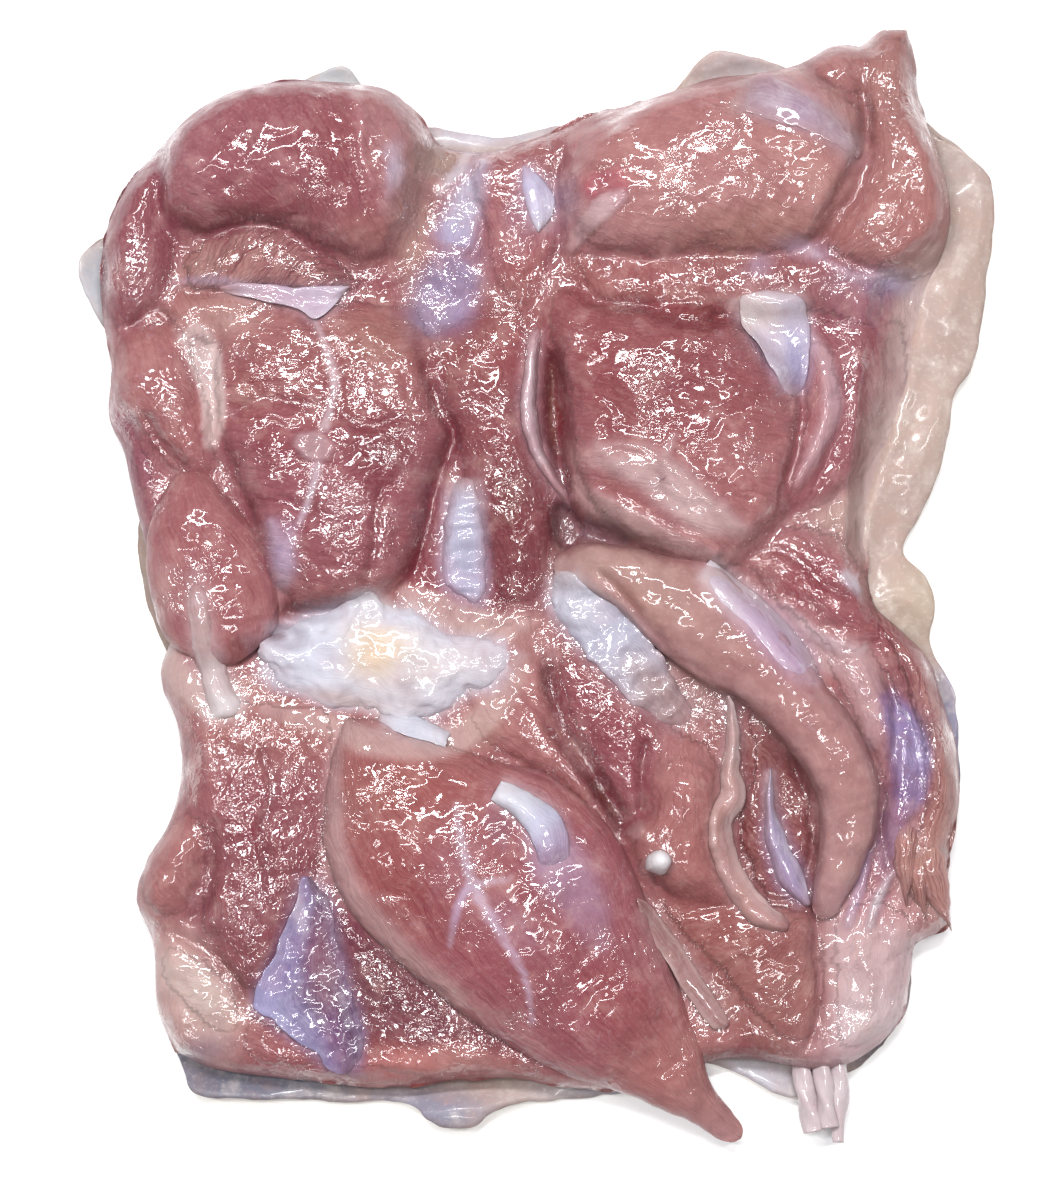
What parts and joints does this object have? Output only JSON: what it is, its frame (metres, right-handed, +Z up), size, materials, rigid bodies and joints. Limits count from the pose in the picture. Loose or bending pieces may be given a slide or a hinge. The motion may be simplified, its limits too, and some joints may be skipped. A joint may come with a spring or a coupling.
{
  "type": "boneless chicken thigh",
  "caption": "Raw boneless chicken thigh with its drumstick meat, laid open and flat on its skin, with tendons, membranes and a cartilage pad.",
  "frame": {"origin": "middle of the footprint of the whole piece, on the surface that it lies on", "axes": "+Z up, out of the cut side of the meat; +Y from the shank to the hip; +X to the right as the cut side is looked down on with the hip away"},
  "size_m": [0.1663, 0.202, 0.0223],
  "materials": {
    "skin": "moist, pale cream to bluish white skin with its fat",
    "meat": "moist raw muscle, pink to dark mauve, with fine fibres and small highlights",
    "cartilage": "smooth wet bluish white",
    "tendon": "smooth wet pinkish white",
    "membrane": "thin, wet, translucent lilac"
  },
  "bodies": {
    "root": {"skin": "skin", "meat": "meat", "knee_cartilage": "cartilage", "cartilage_chip": "cartilage", "knee_flap": "tendon", "column_tendon": "tendon", "wedge_membrane": "membrane", "hip_tendon_flap": "tendon", "groove_cord": "tendon", "pillow_flap": "tendon", "strap_tendon": "tendon", "arch_fascia": "tendon", "arch_tendon": "membrane", "curled_strip": "tendon", "calf_membrane": "membrane", "fan_strip": "tendon", "calf_tendon": "tendon", "shank_membrane": "membrane", "shank_tendons": "tendon"}
  },
  "joints": []
}
